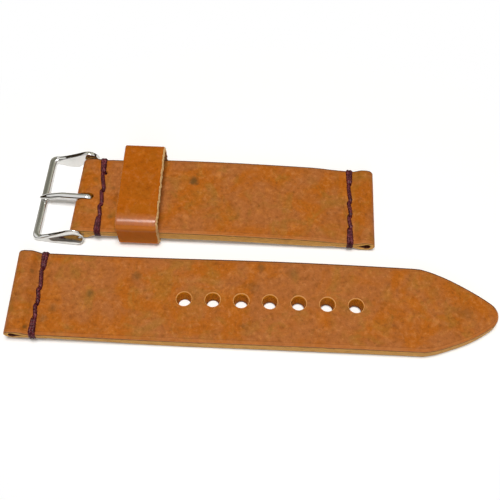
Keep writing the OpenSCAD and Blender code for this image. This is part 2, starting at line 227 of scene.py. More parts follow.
def grain_side(sheet, orange, pink, olive, dark, mottle=1.0, marks_and_shade=True, pores=1.0):
    """Waxed full-grain leather: broad patches of three browns, small stains, creases and pores; with
    marks_and_shade, also a painted highlight on the lip, painted shade in its crease and on the far rim, and
    painted shade of the keeper among the stains.
    """
    wide = sheet.cloud(9, 3, 0.55, 0.6)
    patch = sheet.cloud(6, 3, 0.6, 0.8, (31, 7, 0))
    cloudy = sheet.cloud(3.4, 4, 0.62, 0.5, (-11, 23, 5))
    mid = sheet.cloud(1.7, 3, 0.6, 0.5, (7, 2, 1))
    grit = sheet.cloud(0.9, 3, 0.6)
    fine = sheet.cloud(0.28, 2, 0.6)
    colour = sheet.layers(
        orange,
        (pink, wide.rise(0.38, 0.62) * mottle),
        (olive, patch.rise(0.48, 0.7) * 0.55 * mottle),
        (dark, cloudy.rise(0.54, 0.8) * 0.45 * mottle),
        (tint(214, 130, 48), cloudy.rise(0.46, 0.22) * 0.45 * mottle),
        (tint(204, 134, 76), mid.rise(0.52, 0.74) * 0.38 * mottle),
        (tint(146, 80, 12), mid.rise(0.48, 0.26) * 0.45 * mottle),
        (dark, grit.rise(0.5, 0.8) * 0.5),
        (dark, fine.rise(0.52, 0.8) * 0.45),
        (tint(214, 140, 72), grit.rise(0.48, 0.22) * 0.42 * mottle))
    specks = sheet.cells(1.7, (3, 3, 3)).rise(0.09, 0.02)
    folds = sheet.cloud(1.4, 4, 0.65, 1.2, stretch=(0.45, 1.5, 1))
    height = sheet.cells(0.42) * 0.25 * pores + fine * 0.25 + folds * 0.45 - specks * 0.35
    if marks_and_shade:
        rim = sheet.zone()
        # Painted highlight on the lip between the pressed line and the rim
        lip_highlight = rim.rise(LIP + 0.012, LIP - 0.012) * rim.rise(-0.3, -0.05)
        crease = rim.near(LIP, 0.016)
        height = height - crease * 0.5
        # Painted light: the lip's highlight, painted shade in the crease and painted shade on the far rim
        colour = sheet.layers(colour, (LIP_HIGHLIGHT, lip_highlight * (0.15 + wide * 0.4)), (dark, crease * 0.3),
                              (FAR_RIM_SHADE, sheet.behind() * 0.8))
        # Stains, and in two of them painted shade of the keeper beside its left edge
        x, y, _ = sheet.axes(sheet.place())
        x, y = x + cloudy * 1.6, y + grit * 1.2
        for left, back, reach, strength in STAINS_AND_SHADE:
            away = ((x - left - 0.8) ** 2 + (y - back - 0.6) ** 2) ** 0.5
            colour = sheet.layers(colour, (STAIN_AND_SHADE_TONE, away.rise(reach, reach * 0.2) * strength))
    colour = sheet.layers(colour, (dark, specks * 0.5))
    return sheet.looks(colour, 0.42 + grit * 0.16 + cloudy * 0.08, height, 0.09, 0.55)


def keeper_side(sheet):
    """Smoother leather, waxed to a shine where it bends over the strap's near edge, with painted light on its
    front face.
    """
    values = grain_side(sheet, *KEEPER_BROWNS, 0.6, False, 0.6)
    _, y, z = sheet.axes(sheet.place())
    values["Coat Weight"] = z.rise(7.2, 8.6) * y.rise(5.2, 3.4)
    # Painted light: a lighter orange on the keeper's front face
    values["Base Color"] = sheet.layers(values["Base Color"], (tint(222, 128, 26), y.rise(2.0, 1.3) * 0.6))
    return values


def raw_edge(sheet, core, streak, line_shade, bottom_line, upper=None, line=1.0, foot=0.0):
    """Cut edge: fibres along the strap and a soft pale line at the foot, with painted light: a paler upper rim as
    painted highlight, a dark line near the top as painted shade of the pressed line, painted shade on the far rim
    and, where foot is given, a dark painted shadow along the foot.
    """
    across = sheet.zone()
    fibres = sheet.cloud(0.5, 4, 0.65, 0.4, stretch=(0.35, 0.8, 2.4))
    blotch = sheet.cloud(3.5, 3, 0.6, shift=(5, 0, 0))
    wander = across + (fibres - 0.5) * 0.08
    colour = sheet.layers(core, (streak, fibres.rise(0.42, 0.72) * 0.75),
                          (streak, blotch.rise(0.5, 0.75) * 0.4),
                          (bottom_line, wander.rise(-0.74, -0.9) * 0.8))
    # upper: a paler upper rim as painted highlight, with painted shade on the far rim
    if upper:
        far_rim_shade = sheet.behind() * across.rise(-0.14, -0.08) * 0.9
        colour = sheet.layers(colour, (upper, wander.rise(-0.15, -0.1)), (FAR_RIM_SHADE, far_rim_shade))
    # Painted shade of the pressed line near the top
    colour = sheet.layers(colour, (line_shade, wander.near(-0.14, 0.09) * line))
    # Painted contact shadow: a dark line along the foot
    if foot:
        colour = sheet.layers(colour, (tint(66, 48, 18), wander.rise(-0.84, -0.93) * foot))
    height = fibres + sheet.cloud(0.22, 2, 0.6) * 0.6
    return sheet.looks(colour, 0.72 + fibres * 0.2, height, 0.16, 0.8)


def flesh_side(sheet, pale, deep):
    """Underside of the leather: short loose fibres and faint hollows."""
    nap = sheet.cloud(0.32, 4, 0.7, 1.1, stretch=(1, 1.6, 1))
    patch = sheet.cloud(6, 3, 0.6, shift=(9, 4, 0))
    colour = sheet.layers(pale, (deep, nap.rise(0.36, 0.7) * 0.7), (deep, patch.rise(0.45, 0.75) * 0.4))
    return sheet.looks(colour, 0.85 + nap * 0.1, nap, 0.2, 0.7)


def cut_wall(sheet, pale, deep, rim=None, foot=None):
    """Cut wall: pressed fibres, darker in patches, and, where zones are given, a painted highlight on the rim and
    painted shade at the foot.
    """
    fibres = sheet.cloud(0.35, 3, 0.6, stretch=(1, 1, 2.2))
    colour = sheet.layers(pale, (deep, fibres.rise(0.35, 0.7)))
    if rim:
        height = sheet.zone()
        # Painted highlight on the chamfered rim and painted shade at the foot of the wall
        colour = sheet.layers(colour, (rim, height.rise(0.62, 0.8)), (foot, height.near(0.04, 0.34) * 0.8))
    return sheet.looks(colour, 0.7 + fibres * 0.2, fibres, 0.12, 0.7)


def waxed_thread(sheet, dark, light):
    """Plum thread: dark in its twist, with pinkish painted highlights on its strands where its wax would catch the
    light.
    """
    strands = sheet.cloud(0.16, 3, 0.6, 0.5)
    patch = sheet.cloud(0.9, 2, 0.5, shift=(2, 8, 0))
    colour = sheet.layers(dark, (light, strands.rise(0.45, 0.66) * 0.8), (dark, patch.rise(0.45, 0.65) * 0.6))
    return sheet.looks(colour, 0.38 + strands * 0.25, strands, 0.05, 0.7)


def steel(sheet, bright, smoke, low, high, grainy):
    """Steel with faint polishing marks and a little haze."""
    rub = sheet.cloud(0.18, 3, 0.6, stretch=(0.25, 3, 3))
    haze = sheet.cloud(3.2, 3, 0.6, shift=(4, 1, 2))
    colour = sheet.layers(bright, (smoke, haze.rise(0.45, 0.75) * 0.6))
    return sheet.looks(colour, low + (high - low) * haze.rise(0.35, 0.75) + rub * grainy, rub, 0.004, 0.35)


leather_grain = finish_of("strap_grain", grain_side, *STRAP_BROWNS, Specular_IOR_Level=0.07)
keeper_grain = finish_of("keeper_grain", keeper_side, Specular_IOR_Level=0.03, Coat_Roughness=0.3,
                         Coat_IOR=1.58)
# Cut edges: core, streak, painted shade of the pressed line, pale foot line, painted highlight of the upper rim,
# share of the line's shade, share of the painted foot shadow
long_edge = finish_of("long_half_edge", raw_edge, tint(222, 162, 76), tint(178, 118, 40), tint(92, 44, 10),
                      tint(190, 154, 84), LIP_HIGHLIGHT, 1.0, 0.3)
short_edge = finish_of("short_half_edge", raw_edge, tint(238, 178, 86), tint(192, 130, 50), tint(96, 50, 12),
                       tint(240, 204, 120), tint(214, 142, 76), 0.75, 0.85)
keeper_edge = finish_of("keeper_edge", raw_edge, tint(240, 202, 140), tint(204, 150, 84), tint(226, 178, 112),
                        tint(206, 154, 92), None, 0.3)
leather_flesh = finish_of("flesh_side", flesh_side, tint(206, 158, 104), tint(164, 110, 60), Sheen_Weight=0.2)
# Hole walls: fibre tones, the rim's painted highlight and the foot's painted shade
hole_wall = finish_of("hole_wall", cut_wall, tint(226, 140, 18), tint(156, 82, 6), tint(232, 168, 100),
                      tint(112, 72, 34), Specular_IOR_Level=0.1)
# Painted shade: leather walls inside the fold tunnels, the pin bore and the hairline gaps, dark as the shade in
# them
shaded_slit_wall = finish_of("tunnel_wall_shade", cut_wall, tint(112, 50, 28), tint(60, 22, 14))
thread_wax = finish_of("plum_thread", waxed_thread, tint(40, 2, 8), tint(174, 82, 92),
                       Specular_IOR_Level=0.12, Coat_Weight=0.12, Coat_Roughness=0.25)
fuzz_tan = finish_of("loose_fibre", cut_wall, tint(236, 198, 136), tint(196, 146, 84))
frame_steel = finish_of("polished_steel", steel, tint(212, 211, 208), tint(196, 195, 190), 0.05, 0.1, 0.03,
                        Metallic=1.0)
bar_steel = finish_of("turned_steel", steel, tint(198, 198, 198), tint(176, 176, 176), 0.24, 0.36, 0.1,
                      Metallic=1.0)


# Meshes


def shape(name, points, edges, faces):
    """A mesh object from points in metres."""
    mesh = bpy.data.meshes.new(name)
    mesh.from_pydata(points, edges, faces)
    return put(name, mesh)


def skin(name, points, faces, materials=(), kinds=None, zones=None):
    """A mesh object from points in mm; kinds are the faces' material numbers, zones the points' heights."""
    piece = shape(name, [Vector(p) * MM for p in points], [], faces)
    for material in materials:
        piece.data.materials.append(material)
    if kinds:
        piece.data.polygons.foreach_set("material_index", kinds)
    layer = piece.data.uv_layers.new(name="zone")
    for loop in piece.data.loops:
        x = points[loop.vertex_index][0]
        layer.data[loop.index].uv = (x / 100, zones[loop.vertex_index] if zones else -0.5)
    return piece


def tube(name, loops, materials=(), kind=0, end_kind=0, zones=None):
    """A closed run of rings of the same number of points; kind is or gives each face's material number."""
    count = len(loops[0])
    faces, kinds = [], []
    for row in range(len(loops) - 1):
        this, after = row * count, (row + 1) * count
        for column in range(count):
            right = (column + 1) % count
            faces.append((this + column, this + right, after + right, after + column))
            kinds.append(kind(row, column) if callable(kind) else kind)
    points = [p for ring in loops for p in ring]
    faces += [tuple(range(count))[::-1], tuple(range(len(points) - count, len(points)))]
    return skin(name, points, faces, materials, kinds + [end_kind, end_kind], zones)


def tidy(piece, angle=32):
    """Merges what meets, drops what has no area, points the faces out and smooths all but sharp edges."""
    work = bmesh.new()
    work.from_mesh(piece.data)
    bmesh.ops.remove_doubles(work, verts=work.verts, dist=0.002 * MM)
    bmesh.ops.dissolve_degenerate(work, dist=0.001 * MM, edges=work.edges)
    bmesh.ops.recalc_face_normals(work, faces=work.faces)
    work.to_mesh(piece.data)
    work.free()
    piece.data.shade_smooth()
    piece.data.set_sharp_from_angle(angle=radians(angle))
    return piece


def settle(piece):
    """Turns what the modifiers make into the piece's own mesh."""
    result = bpy.data.meshes.new_from_object(piece.evaluated_get(bpy.context.evaluated_depsgraph_get()))
    piece.modifiers.clear()
    piece.data = result
    return piece


def carve(piece, cutters):
    """Cuts the cutters out of the piece, whose materials they take on, and removes them."""
    for cutter in cutters:
        for material in piece.data.materials:
            cutter.data.materials.append(material)
        tidy(cutter)
        cut = piece.modifiers.new("cut", "BOOLEAN")
        cut.object, cut.operation, cut.solver = cutter, "DIFFERENCE", "EXACT"
    settle(piece)
    for cutter in cutters:
        bpy.data.objects.remove(cutter)


def circle(radius, count, centre=(0, 0), start=0):
    """Points round a circle, the first one start steps on."""
    turns = [2 * pi * (k + start) / count for k in range(count)]
    return [(centre[0] + radius * cos(a), centre[1] + radius * sin(a)) for a in turns]


def prism(name, outline, low, high, place, kind, upright=False):
    """A cutter: an outline in x and z drawn out in y, or, upright, one in x and y drawn out in z."""
    loops = [[place(a, b, h) if upright else place(a, h, b) for a, b in outline] for h in (low, high)]
    return tube(name, loops, (), kind, kind)


def turned(name, profile, centre, sides, tones=(), lean=0):
    """A hole's cutter turned round a line that leans in y: radius, height and a zone height of each ring."""
    surface = profile[-2][1]
    loops = [[(x, y + lean * (z - surface), z) for x, y in circle(r, sides, centre)] for r, z in profile]
    return tube(name, loops, (), HOLE, HOLE, [t for t in tones for _ in range(sides)])


def give(piece, body, slot, *nodes):
    """The piece rides on its body and stands for its CAD nodes, which are hidden; slot is not used."""
    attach(piece, body)
    if nodes:
        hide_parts(*nodes)
    return piece


# The strap's own measures

mounts = {m["name"]: Vector(m["pos_m"]) / MM for m in frame["record"]["mounts"]}
joints = {j["name"]: j for j in frame["joints"]}
WIDTH = 22.0
MIDDLE = WIDTH / 2
LONG_TUNNEL, SHORT_TUNNEL = (2.05, 3.1), (74.55, 2.05)
LONG = mounts["lug_tunnel_long"] - Vector((LONG_TUNNEL[0], MIDDLE, LONG_TUNNEL[1]))
SHORT = mounts["lug_tunnel_short"] - Vector((SHORT_TUNNEL[0], MIDDLE, SHORT_TUNNEL[1]))
PIN = Vector(joints["buckle_swing"]["pos_m"]) / MM
PIN_X, PIN_Z = 1.7, PIN.z
SLANT = joints["buckle_swing"]["axis"][0] / joints["buckle_swing"]["axis"][1]
TURN = math.atan(SLANT)
TONGUE_Y = -0.8
LUG_R, FOLD_R, FOLD_REACH = 2.05, 2.1, 0.75
LEATHER, SKIVED = 3.6, 2.5
LONG_LEN, SHORT_LEN = 120, 76.6
LONG_FLAT, LONG_RISE, LONG_BOW, SHORT_BOW = 44, 1.35, 0.4, 1.6
LONG_RAMP, SHORT_ARC, THINNER = 34, 92, 0.05
FOLD_END, FOLD_LOW, FOLD_TOP, FOLD_DROP, FOLD_RISE = 9.2, 1.7, 4.2, 1.45, 0.25
LUG_LOW_LONG, LUG_TOP_LONG, LUG_TOP_SHORT = 1.05, 5.15, 4.1
EDGE_BOW, BOW_FROM, BOW_TO = 0.35, 22, 100
FAR_WARP, NEAR_WARP = 1.5, 0.3
GROOVE, GROOVE_HALF = 0.12, 1.7
ROW_LONG, ROW_SHORT, ROW_BUCKLE = 6.8, 70.2, 5.75
STITCH_Y = (4.3, 8.0, 12.2, 17.7)
FLAP_LONG, FLAP_SHORT, FLAP_FOLD = 10.2, 66.6, 10.6
FIRST_HOLE, HOLE_PITCH, HOLE_COUNT = 42.4, 7, 7
PIN_BORE_R, CURL_ROOM_R, TIP_HOLE_R = 0.95, 2.35, 0.5
SLOT_HALF, SLOT_END = 1.0, 1.0

# Stretches along a half, or across it for LEANING, where a height or a side changes: start and length
LUG_FOOT, LUG_HEAD, LONG_SKIVE, POINT_FAR, POINT_NEAR = (3.2, 2.6), (3.4, 2.8), (10, 36), (98, 17), (103, 5)
FOLD_BEND, FOLD_SLOPE, SKEWED = (2.6, 2.4), (FOLD_END, 9), (2.2, 3.2)
SHORT_SKIVE, SHORT_LUG, LEANING = (59.6, 9), (71.15, 2.4), (13, 8)


def pin_place(x, y, z):
    """A point of the buckle's own frame: x and y from the pin's middle, z from the floor."""
    along, aside = cos(TURN), sin(TURN)
    return (PIN.x + x * along + y * aside, PIN.y - x * aside + y * along, z)


def plain_place(x, y, z):
    return (x, y, z)


def ease(t):
    t = min(1, max(0, t))
    return t * t * (3 - 2 * t)


def passed(x, stretch):
    """0 before a stretch, 1 after it, smooth between."""
    start, length = stretch
    return ease((x - start) / length)


def wave(degrees):
    return sin(radians(degrees))


def uneven(x, y, z):
    return noise.noise(Vector((x, y, z)))


def dent(away):
    return GROOVE * (1 - ease(abs(away) / GROOVE_HALF))


def long_low(x):
    if x < LONG_FLAT:
        return LONG_RISE * ease((LONG_FLAT - x) / LONG_RAMP)
    return LONG_BOW * wave(180 * (x - LONG_FLAT) / (LONG_LEN - LONG_FLAT))


def long_under(x):
    return long_low(x) + dent(x - ROW_LONG) - (long_low(x) - LUG_LOW_LONG) * (1 - passed(x, LUG_FOOT))


def long_over(x):
    top = long_low(x) + SKIVED - THINNER + (LEATHER - SKIVED + THINNER) * passed(x, LONG_SKIVE)
    return top - dent(x - ROW_LONG) + (LUG_TOP_LONG - top) * (1 - passed(x, LUG_HEAD))


def short_low(x):
    return SHORT_BOW * wave(180 * (SHORT_LEN - x) / SHORT_ARC)


def short_skive(x):
    return (LEATHER - SKIVED) / 2 * passed(x, SHORT_SKIVE)


def short_under(x):
    fold = (FOLD_LOW - short_low(FOLD_END)) * (1 - passed(x, FOLD_SLOPE))
    low = short_low(x) + short_skive(x) + fold + dent(x - ROW_SHORT)
    return low - low * passed(x, SHORT_LUG)


def short_over(x):
    fold = (FOLD_TOP - short_low(FOLD_END) - LEATHER) * (1 - passed(x, FOLD_SLOPE))
    top = short_low(x) + LEATHER - short_skive(x) + fold - dent(x - ROW_SHORT)
    return top + (LUG_TOP_SHORT - top) * passed(x, SHORT_LUG)


def fold_under(x):
    return FOLD_LOW + dent(x - ROW_BUCKLE) - FOLD_DROP * (1 - passed(x, FOLD_BEND))


def fold_over(x):
    return FOLD_TOP - dent(x - ROW_BUCKLE) + FOLD_RISE * (1 - passed(x, FOLD_BEND))


def long_place(x, y, z):
    """A point of the long half, from its lug end: bowed along its far edge and warped at the point."""
    bow = EDGE_BOW * wave(180 * (x - BOW_FROM) / (BOW_TO - BOW_FROM)) if BOW_FROM < x < BOW_TO else 0
    far, near = bow - FAR_WARP * passed(x, POINT_FAR), NEAR_WARP * passed(x, POINT_NEAR)
    return (LONG.x + x, LONG.y + y + near + (far - near) * y / WIDTH, z)


def short_place(x, y, z):
    """A point of the short half, from its fold, which is skewed with the buckle."""
    skew = SLANT * (1 - passed(x, SKEWED))
    return (SHORT.x + x + (y - MIDDLE) * skew, SHORT.y + y, z)


LONG_LUG_ROW = (ROW_LONG, long_under, long_over, long_place)
SHORT_LUG_ROW = (ROW_SHORT, short_under, short_over, short_place)
BUCKLE_ROW = (ROW_BUCKLE, fold_under, fold_over, short_place)


def flap_step(x, end, way):
    """Small step on the underside where the folded layer ends."""
    past = (x - end) * way
    return 0.2 * (1 - ease(past / 6)) if past > 0 else 0


def steps(start, end, pace):
    count = max(1, round((end - start) / pace))
    return [start + (end - start) * i / count for i in range(count)]


def round_end(centre, radius, way, reach=0):
    """Stations of a folded end: x, underside and top along the half circle that bulges way, to the side."""
    x, z = centre
    half = [pi / 2 * i / 12 for i in range(12)]
    ends = [(x + way * (radius + reach) * cos(a), z - radius * sin(a), z + radius * sin(a))
            for a in half]
    return ends if way < 0 else ends[::-1]


# Leather of the two halves

EDGE_TOP_R, EDGE_FOOT_R = 0.5, 0.4
ROWS_ACROSS = 36
GRAIN, EDGE, FLESH, HOLE, SLIT = range(5)


def side_profile(x, thick):
    """Inset, depth and part of the points down one cut side, with a pressed line and a slight belly.

    The part is 1 round the top, 0 down the side and -1 round the foot.
    """
    top, foot = min(EDGE_TOP_R, 0.4 * thick), min(EDGE_FOOT_R, 0.42 * thick)
    quarter = [(1 - wave(90 * i / 4), 1 - wave(90 - 90 * i / 4)) for i in range(5)]
    full = ease((thick - 1.2) / 1.2)
    points = [(top * a, top * b, 1) for a, b in quarter]
    for i in range(1, 12):
        down = top + (thick - top - foot) * i / 12
        rough = 0.05 * uneven(x * 1.3, down * 1.7, 3.0) + 0.03 * uneven(x * 4, down * 3, 9)
        line = 0.13 * math.exp(-(((down - 0.17 * thick) / (0.05 * thick + 0.001)) ** 2))
        belly = -0.05 * wave(180 * i / 12)
        points.append(((line + belly + rough) * full, down, 0))
    return points + [(foot * b, thick - foot * a, -1) for a, b in quarter]


def half_skin(name, stations, place, edge, kind_below):
    """Skin of one half. A station is x, underside, top and, at the point, the rim's y and the way inward."""
    loops, zones = [], []
    for x, low, top, *rim in stations:
        rim_y, in_x, in_y = rim or (0.0, 0.0, 1.0)
        thick = top - low
        down = side_profile(x, thick)
        near = [(x + in_x * d, rim_y + in_y * d, top - h) for d, h, _ in down]
        far = [(x + in_x * d, WIDTH - rim_y - in_y * d, top - h) for d, h, _ in down]
        share = [d / 10 * part - (h / thick if thick > 0.01 else 0.5) for d, h, part in down]
        below, above = [], []
        for i in range(1, ROWS_ACROSS):
            t = i / ROWS_ACROSS
            for row, a, b in ((below, near[-1], far[-1]), (above, near[0], far[0])):
                y = a[1] + (b[1] - a[1]) * t
                inset = min(t, 1 - t) * abs(b[1] - a[1])
                swell = 0.035 * uneven(x / 6, y / 6, 1.5) * ease(inset / 2) * ease(thick - 2)
                z = a[2] + (swell if row is above else max(0, swell) * 0.5)
                row.append((a[0], y, z, inset))
        ring = near + [p[:3] for p in below] + far[::-1] + [p[:3] for p in above[::-1]]
        loops.append([place(*p) for p in ring])
        zones += (share + [-1 - min(p[3] + EDGE_FOOT_R, 5) / 10 for p in below] + share[::-1]
                  + [min(p[3] + EDGE_TOP_R, 5) / 10 for p in above[::-1]])
    sides, across = len(down), ROWS_ACROSS

    def kind(row, column):
        if column < 2 or 2 * sides + across - 4 < column:
            return GRAIN
        if column < sides - 3 or sides + across + 1 <= column <= 2 * sides + across - 4:
            return EDGE
        return kind_below(stations[row][0])

    materials = [leather_grain, edge, leather_flesh, hole_wall, shaded_slit_wall]
    return tidy(tube(name, loops, materials, kind, GRAIN, zones))


def fold_cutter(centre, way, place):
    """Open tunnel of a folded end with the narrow gap where the leather closes behind it."""
    turns = [radians(40 + 280 * i / 24) for i in range(25)]
    closing = [(0.766 + 2.1 * t, 0.643 * (1 - t) ** 1.7) for t in (0.12, 0.25, 0.4, 0.6, 0.8)]
    outline = [(cos(a), sin(a)) for a in turns] + [(a, -b) for a, b in closing]
    outline += [(2.9, 0)] + closing[::-1]
    outline = [(centre[0] + way * a, centre[1] + b) for a, b in outline]
    return prism("fold_gap", outline, -1, WIDTH + 1, place, SLIT)


def seam_cutters(start, end, height, place):
    """Hairline between the folded layers, seen on both cut sides."""
    count = 14
    xs = [start + (end - start) * i / count for i in range(count + 1)]
    upper = [(x, height(x) + 0.045 * wave(180 * i / count) + 0.012) for i, x in enumerate(xs)]
    lower = [(x, 2 * height(x) - z) for x, z in upper[::-1]]
    return [prism("fold_seam", upper + lower, low, high, place, SLIT)
            for low, high in ((-1, 0.3), (WIDTH - 0.3, WIDTH + 1))]


def stitch_holes(x, under, over, place):
    """Awl holes of one sewn row, drawn in a little at both faces."""
    low, top = under(x), over(x)
    profile = ((0.9, low - 1), (0.7, low - 0.05), (0.55, low + 0.3), (0.55, top - 0.35), (0.64, top + 0.03),
               (0.9, top + 1))
    return [turned("awl_hole", profile, place(x, y, 0), 28) for y in STITCH_Y]


def punched_hole(x, place):
    """Cutter of one adjustment hole, with a chamfered rim and its foot a little aside."""
    low, top = long_under(x), long_over(x)
    profile = ((2.0, low - 1), (1.6, low), (1.52, low + 0.3), (1.58, low + 1.2), (1.74, top - 0.6),
               (1.8, top - 0.24), (2.04, top + 0.02), (2.5, top + 0.6))
    # Zone heights of the rings, which place the painted rim highlight and the painted foot shade
    tones = (0, 0, 0.08, 0.4, 0.5, 0.6, 1, 1)
    return turned("punch", profile, place(x, MIDDLE, 0), 56, tones, 0.07)


def make_long_half():
    point_start, arc_x, arc_y, arc_r, tip_x, tip_r = 100.5, 95.33, 33.60, 34.0, 114.75, 4.2
    straight = steps(LONG_TUNNEL[0], 16, 0.25) + steps(16, point_start, 0.5)
    straight += [FLAP_LONG - 0.02, FLAP_LONG + 0.02]
    stations = round_end(LONG_TUNNEL, LUG_R, -1)
    stations += [(x, long_under(x) + flap_step(x, FLAP_LONG, 1), long_over(x)) for x in sorted(straight)]
    shoulder, meet = -math.degrees(math.asin(arc_y / arc_r)), -49.33
    turns = [(arc_x, arc_y, arc_r, shoulder + (meet - shoulder) * i / 36) for i in range(37)]
    turns += [(tip_x, MIDDLE, tip_r, meet * (1 - i / 14)) for i in range(1, 15)]
    for centre_x, centre_y, r, degrees in turns:
        a = radians(degrees)
        x, y = centre_x + r * cos(a), centre_y + r * sin(a)
        stations.append((x, long_under(x), long_over(x), y, -cos(a), -sin(a)))
    piece = half_skin("long_half_leather", stations, long_place, long_edge,
                      lambda x: GRAIN if x < FLAP_LONG else FLESH)
    cutters = [fold_cutter(LONG_TUNNEL, 1, long_place)]
    cutters += stitch_holes(*LONG_LUG_ROW)
    cutters += [punched_hole(FIRST_HOLE + HOLE_PITCH * i, long_place) for i in range(HOLE_COUNT)]
    cutters += seam_cutters(5.1, FLAP_LONG, lambda x: (long_under(x) + long_over(x)) / 2 - 0.1, long_place)
    carve(piece, cutters)
    give(tidy(piece), "long_half", "leather", "long_strap")


def make_short_half():
    stations = round_end((PIN_X, PIN_Z), FOLD_R, -1, FOLD_REACH)
    stations += [(x, fold_under(x), fold_over(x)) for x in steps(PIN_X, 8.6, 0.25)]
    middle = steps(8.6, 18, 0.3) + steps(18, 62, 0.5) + steps(62, SHORT_TUNNEL[0], 0.25)
    middle += [flap + side for flap in (FLAP_FOLD, FLAP_SHORT) for side in (-0.02, 0.02)]
    middle.append(SHORT_TUNNEL[0] - 0.001)
    for x in sorted(middle):
        step = flap_step(x, FLAP_FOLD, 1) + flap_step(x, FLAP_SHORT, -1)
        stations.append((x, short_under(x) + step, short_over(x)))
    stations += round_end(SHORT_TUNNEL, LUG_R, 1)
    piece = half_skin("short_half_leather", stations, short_place, short_edge,
                      lambda x: FLESH if FLAP_FOLD < x < FLAP_SHORT else GRAIN)
    cutters = [fold_cutter(SHORT_TUNNEL, -1, short_place)]
    cutters += stitch_holes(*SHORT_LUG_ROW)
    cutters += stitch_holes(*BUCKLE_ROW)
    cutters += seam_cutters(FLAP_SHORT, 71.6, lambda x: (short_under(x) + short_over(x)) / 2 + 0.1,
                            short_place)
    cutters += seam_cutters(3.3, FLAP_FOLD, lambda x: 2.85, short_place)
    carve(piece, cutters)
    slot = [(-5, -SLOT_HALF), (SLOT_END, -SLOT_HALF)]
    slot += [(SLOT_END + SLOT_HALF * wave(a), -SLOT_HALF * wave(90 - a)) for a in (15, 30, 45, 60, 75, 90)]
    slot += [(x, -y) for x, y in slot[-2::-1]]
    slot = [(x, y + TONGUE_Y) for x, y in slot]
    room, bore = circle(CURL_ROOM_R, 56, (0, PIN_Z)), circle(PIN_BORE_R, 40, (0, PIN_Z))
    carve(piece, [prism("tongue_slot", slot, -1, 10, pin_place, HOLE, True)])
    carve(piece, [prism("curl_room", room, TONGUE_Y - SLOT_HALF, TONGUE_Y + SLOT_HALF, pin_place, HOLE)])
    carve(piece, [prism("pin_bore", bore, -15, 15, pin_place, SLIT)])
    give(tidy(piece), "short_half", "leather", "short_strap")


make_long_half()
make_short_half()


# Geometry node trees


def geometry_sheet(name, **inputs):
    """The sheet of a Geometry Nodes tree with named number inputs, and the wire of what it is given."""
    tree = bpy.data.node_groups.new(name, "GeometryNodeTree")
    tree.interface.new_socket("Geometry", in_out="INPUT", socket_type="NodeSocketGeometry")
    for label, value in inputs.items():
        tree.interface.new_socket(label, in_out="INPUT", socket_type="NodeSocketFloat").default_value = value
    tree.interface.new_socket("Geometry", in_out="OUTPUT", socket_type="NodeSocketGeometry")
    sheet = Sheet(tree)
    return sheet, sheet.add("NodeGroupInput")


def in_material(sheet, made, material):
    """Ends a geometry tree with what it has made, in its material, and gives the tree."""
    made = sheet.add("GeometryNodeRealizeInstances", {"Geometry": made})
    made = sheet.add("GeometryNodeSetMaterial", {"Geometry": made, "Material": material})
    sheet.add("NodeGroupOutput", (made,))
    return sheet.tree


def grow(piece, tree, **values):
    """Runs the tree on the piece with its inputs set, and keeps the mesh it makes."""
    work = piece.modifiers.new(tree.name, "NODES")
    work.node_group = tree
    for item in tree.interface.items_tree:
        if item.in_out == "INPUT" and item.name in values:
            work[item.identifier] = values[item.name]
    return settle(piece)


def thread_tree(material):
    """Twisted thread along each chain of edges."""
    sheet, given = geometry_sheet("twisted_thread", Radius=0.0004, Step=0.00011, Twist=2600.0, Lobes=0.11)
    line = sheet.add("GeometryNodeMeshToCurve", {"Mesh": given.out("Geometry")})
    line = sheet.add("GeometryNodeResampleCurve", {"Curve": line, "Length": given.out("Step")}, mode="LENGTH")
    length = sheet.add("GeometryNodeSplineParameter", out="Length")
    line = sheet.add("GeometryNodeSetCurveTilt", {"Curve": line, "Tilt": length * given.out("Twist")})
    ring = sheet.add("GeometryNodeCurvePrimitiveCircle", {"Resolution": 15, "Radius": 1.0}, mode="RADIUS")
    spot = sheet.add("GeometryNodeInputPosition")
    x, y, _ = sheet.axes(spot)
    lobes = 1.0 + given.out("Lobes") * x.maths("COSINE", x.maths("ARCTAN2", y, x) * 3.0)
    values = {0: spot, "Scale": lobes * given.out("Radius")}
    grown = sheet.add("ShaderNodeVectorMath", values, operation="SCALE")
    ring = sheet.add("GeometryNodeSetPosition", {"Geometry": ring, "Position": grown})
    made = sheet.add("GeometryNodeCurveToMesh", {"Curve": line, "Profile Curve": ring, "Fill Caps": True})
    return in_material(sheet, sheet.add("GeometryNodeSetShadeSmooth", {"Geometry": made}), material)


def chains(name, paths):
    """A mesh of loose edge chains, from lists of points in mm."""
    points, edges = [], []
    for path in paths:
        edges += [(len(points) + i, len(points) + i + 1) for i in range(len(path) - 1)]
        points += [Vector(p) * MM for p in path]
    return shape(name, points, edges, [])


# Sewn rows

THREAD_R, THREAD_RISE, THREAD_SUNK = 0.5, 0.18, 0.14
BEND = THREAD_R * 1.3


def corner(centre, first, second):
    """Quarter bend round a centre from one direction to another."""
    return [centre + (first * cos(a) + second * sin(a)) * BEND
            for a in (pi / 2 * i / 6 for i in range(7))]


def stitch_path(x0, y0, x1, y1, level, up, deep, jolt):
    """One stitch on one face: out of a hole, along the leather with a slight belly, and down the next."""
    way, along, out = math.copysign(1, y1 - y0), Vector((0, 1, 0)), Vector((0, 0, up))
    height = level + up * (THREAD_RISE if up > 0 else -0.1)
    start = corner(Vector((x0, y0 + way * BEND, height - up * BEND)), along * -way, out)
    end = corner(Vector((x1, y1 - way * BEND, height - up * BEND)), out, along * way)
    run = []
    for i in range(1, 8):
        t = i / 8
        run.append(start[-1].lerp(end[0], t) + Vector((jolt * wave(180 * t), 0, up * 0.05 * wave(180 * t))))
    return [Vector((x0, y0, level - up * deep))] + start + run + end + [Vector((x1, y1, level - up * deep))]


